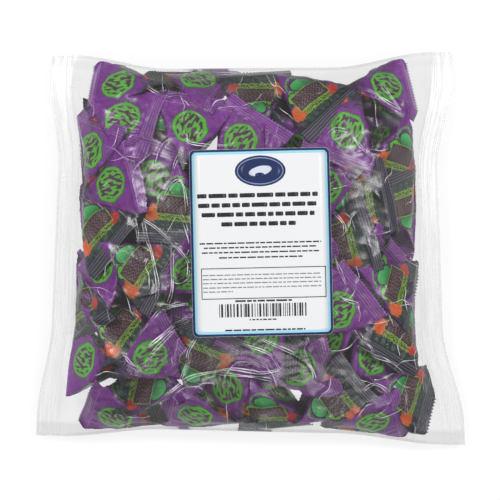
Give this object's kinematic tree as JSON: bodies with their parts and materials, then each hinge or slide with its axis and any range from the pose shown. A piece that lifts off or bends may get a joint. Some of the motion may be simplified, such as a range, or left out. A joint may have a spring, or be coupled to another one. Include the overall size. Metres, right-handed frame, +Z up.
{
  "type": "bag of wrapped sweets",
  "caption": "Clear film pillow bag lying on its back, filled with pyramid sachets of sweets, with crimped end seals and a white paper label on its front.",
  "frame": {"origin": "under the middle of the bag, on the surface that it lies on", "axes": "+Z up out of the labelled front, +Y towards the label's top edge, +X towards the right-hand seal as the label is read"},
  "size_m": [0.24, 0.22, 0.0527],
  "materials": {
    "clear_film": "clear glossy film",
    "label_paper": "satin paper",
    "sachet_film": "glossy printed film"
  },
  "bodies": {
    "root": {"bag": "clear_film", "label": "label_paper"}
  },
  "joints": []
}
